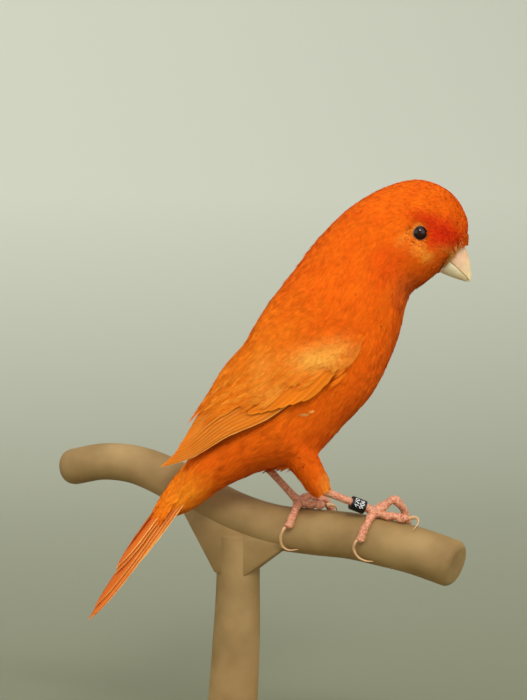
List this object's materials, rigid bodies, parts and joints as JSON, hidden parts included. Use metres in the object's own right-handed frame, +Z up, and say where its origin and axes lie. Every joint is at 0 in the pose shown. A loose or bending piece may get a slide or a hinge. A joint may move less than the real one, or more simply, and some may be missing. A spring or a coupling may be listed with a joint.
{
  "type": "canary model on a perch",
  "caption": "Life-size still model of a small red songbird gripping the bar of a T-shaped perch on a round base, wings folded.",
  "frame": {"origin": "centre of the round base's underside, on the floor", "axes": "+Z up, +X the way the bird faces, +Y the bird's left side"},
  "size_m": [0.1128, 0.076, 0.159],
  "materials": {
    "plumage": "soft contour feathers, orange-red",
    "flight_feathers": "smooth vanes, paler orange with pale edges",
    "leg_skin": "flesh pink, scaly",
    "horn": "pale horn, semi-gloss",
    "eye": "wet gloss, very dark brown",
    "band": "black anodised",
    "printed_plastic": "matt beige, fine printed layers"
  },
  "bodies": {
    "root": {"head": "plumage", "neck": "plumage", "torso": "plumage", "tail": "flight_feathers", "wing_left": "flight_feathers", "wing_right": "flight_feathers", "thigh_left": "plumage", "thigh_right": "plumage", "leg_left": "leg_skin", "leg_right": "leg_skin", "foot_left": "leg_skin", "foot_right": "leg_skin", "claw_left_1": "horn", "claw_left_2": "horn", "claw_left_3": "horn", "claw_left_4": "horn", "claw_right_1": "horn", "claw_right_2": "horn", "claw_right_3": "horn", "claw_right_4": "horn", "bill_upper": "horn", "bill_lower": "horn", "eye_left": "eye", "eye_right": "eye", "leg_band": "band", "perch_bar": "printed_plastic", "stand_post": "printed_plastic", "stand_base": "printed_plastic"}
  },
  "joints": []
}
